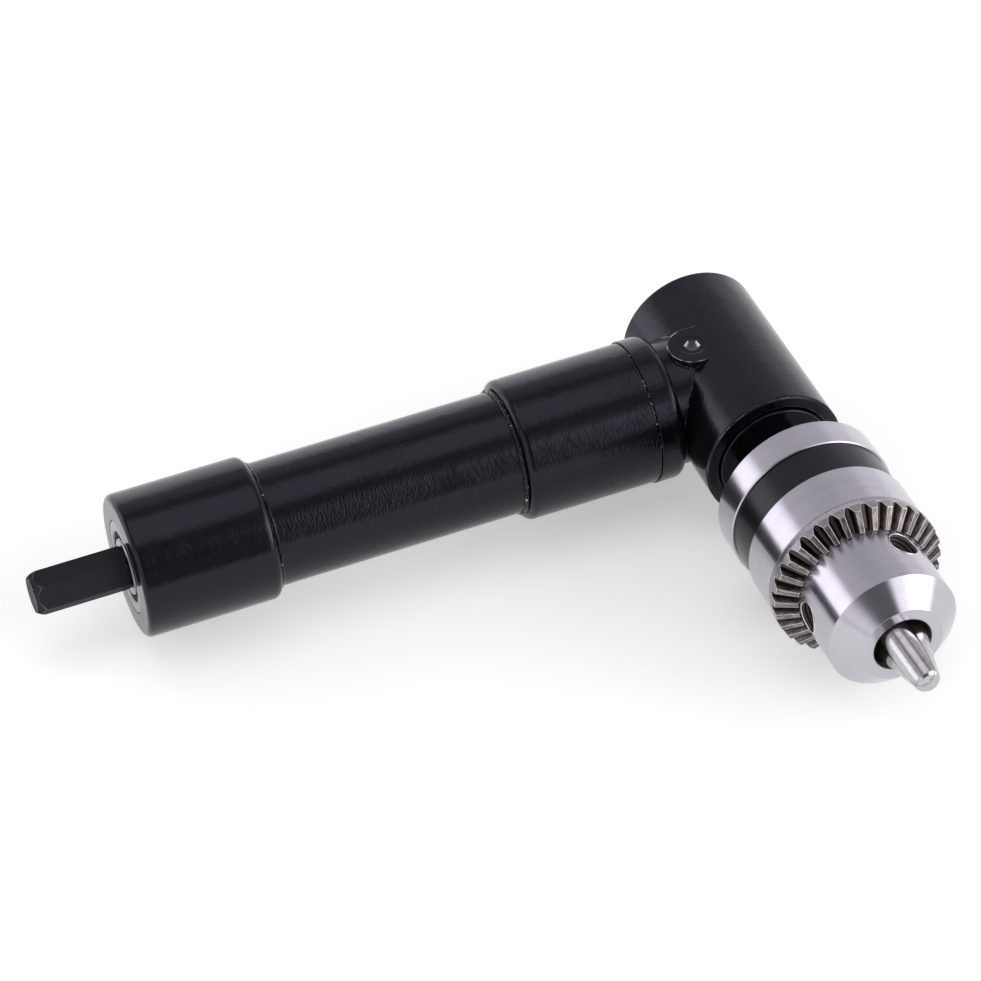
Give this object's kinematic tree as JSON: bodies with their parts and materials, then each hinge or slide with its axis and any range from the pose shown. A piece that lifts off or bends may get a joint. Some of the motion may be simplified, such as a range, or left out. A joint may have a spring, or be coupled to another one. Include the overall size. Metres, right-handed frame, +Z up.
{
  "type": "right angle drill attachment",
  "caption": "Right angle drill attachment: hex shank, straight tubular arm, bevel gear head and a keyed three-jaw drill chuck at ninety degrees to the arm.",
  "frame": {"origin": "centre of the arm's rear face, on the arm's axis, where the hex shank leaves the rear bearing", "axes": "+X along the arm towards the head, -Y along the chuck towards the bit, +Z up, square to both axes"},
  "size_m": [0.1635, 0.1139, 0.0348],
  "materials": {
    "black_paint": "gloss",
    "black_oxide": "satin",
    "black_steel": "satin",
    "chuck_steel": "satin",
    "band_black": "satin",
    "jaw_steel": "ground",
    "gear_steel": "machined",
    "machined_steel": "machined",
    "bearing_steel": "polished",
    "ball_steel": "polished",
    "cage_brass": "satin",
    "seal_rubber": "matt"
  },
  "bodies": {
    "housing": {"rear_collar": "black_paint", "arm_tube": "black_paint", "joint_sleeve": "black_paint", "head_casing": "black_paint", "head_end_cap": "black_paint", "grease_screw": "black_steel", "bearing_spacer": "machined_steel", "retaining_ring": "black_steel", "dust_cap": "black_paint", "arm_rear_bearing_outer": "bearing_steel", "arm_rear_bearing_seals": "seal_rubber", "arm_front_bearing_outer": "bearing_steel", "arm_front_bearing_seals": "seal_rubber", "spindle_rear_bearing_outer": "bearing_steel", "spindle_rear_bearing_seals": "seal_rubber", "spindle_front_bearing_outer": "bearing_steel", "spindle_front_bearing_seals": "seal_rubber"},
    "input": {"input_shaft": "black_oxide", "bevel_pinion": "gear_steel", "pinion_pin": "machined_steel", "arm_rear_bearing_inner": "bearing_steel", "arm_front_bearing_inner": "bearing_steel"},
    "output": {"spindle": "black_oxide", "bevel_gear": "gear_steel", "gear_pin": "machined_steel", "chuck_body": "chuck_steel", "chuck_screw": "black_steel", "spindle_rear_bearing_inner": "bearing_steel", "spindle_front_bearing_inner": "bearing_steel"},
    "key_collar": {"key_sleeve": "chuck_steel", "sleeve_band": "band_black", "nut_half_1": "gear_steel", "nut_half_2": "gear_steel"},
    "jaw_a": {"jaw_1": "jaw_steel"},
    "jaw_b": {"jaw_2": "jaw_steel"},
    "jaw_c": {"jaw_3": "jaw_steel"},
    "arm_rear_bearing_rollers": {"arm_rear_bearing_balls": "ball_steel", "arm_rear_bearing_cage": "cage_brass"},
    "arm_front_bearing_rollers": {"arm_front_bearing_balls": "ball_steel", "arm_front_bearing_cage": "cage_brass"},
    "spindle_rear_bearing_rollers": {"spindle_rear_bearing_balls": "ball_steel", "spindle_rear_bearing_cage": "cage_brass"},
    "spindle_front_bearing_rollers": {"spindle_front_bearing_balls": "ball_steel", "spindle_front_bearing_cage": "cage_brass"}
  },
  "joints": [
    {"name": "spindle_turn", "type": "hinge", "parent": "housing", "child": "output", "pos_m": [0.127, 0, 0], "axis": [0, -1, 0], "continuous": true},
    {"name": "input_turn", "type": "hinge", "parent": "housing", "child": "input", "pos_m": [0, 0, 0], "axis": [1, 0, 0], "continuous": true},
    {"name": "key_collar_turn", "type": "hinge", "parent": "output", "child": "key_collar", "pos_m": [0.127, 0, 0], "axis": [0, -1, 0], "range_deg": [0, 4960.82]},
    {"name": "jaw_a_slide", "type": "slide", "parent": "output", "child": "jaw_a", "axis": [-0.1173, 0.9703, 0.2116], "range_m": [0, 0.02067]},
    {"name": "jaw_b_slide", "type": "slide", "parent": "output", "child": "jaw_b", "axis": [-0.1246, 0.9703, -0.2074], "range_m": [0, 0.02067]},
    {"name": "jaw_c_slide", "type": "slide", "parent": "output", "child": "jaw_c", "axis": [0.2419, 0.9703, -0.0042], "range_m": [0, 0.02067]},
    {"name": "arm_rear_bearing_roll", "type": "hinge", "parent": "housing", "child": "arm_rear_bearing_rollers", "pos_m": [0, 0, 0], "axis": [1, 0, 0], "continuous": true},
    {"name": "arm_front_bearing_roll", "type": "hinge", "parent": "housing", "child": "arm_front_bearing_rollers", "pos_m": [0, 0, 0], "axis": [1, 0, 0], "continuous": true},
    {"name": "spindle_rear_bearing_roll", "type": "hinge", "parent": "housing", "child": "spindle_rear_bearing_rollers", "pos_m": [0.127, 0, 0], "axis": [0, -1, 0], "continuous": true},
    {"name": "spindle_front_bearing_roll", "type": "hinge", "parent": "housing", "child": "spindle_front_bearing_rollers", "pos_m": [0.127, 0, 0], "axis": [0, -1, 0], "continuous": true}
  ],
  "couplings": [
    {"joint": "input_turn", "follows": "spindle_turn", "ratio": 1},
    {"joint": "jaw_b_slide", "follows": "jaw_a_slide", "ratio": 1},
    {"joint": "jaw_c_slide", "follows": "jaw_a_slide", "ratio": 1},
    {"joint": "key_collar_turn", "follows": "jaw_a_slide", "rad_per_m": 4188.8},
    {"joint": "arm_rear_bearing_roll", "follows": "spindle_turn", "ratio": 0.36154},
    {"joint": "arm_front_bearing_roll", "follows": "spindle_turn", "ratio": 0.36154},
    {"joint": "spindle_rear_bearing_roll", "follows": "spindle_turn", "ratio": 0.36},
    {"joint": "spindle_front_bearing_roll", "follows": "spindle_turn", "ratio": 0.4}
  ]
}
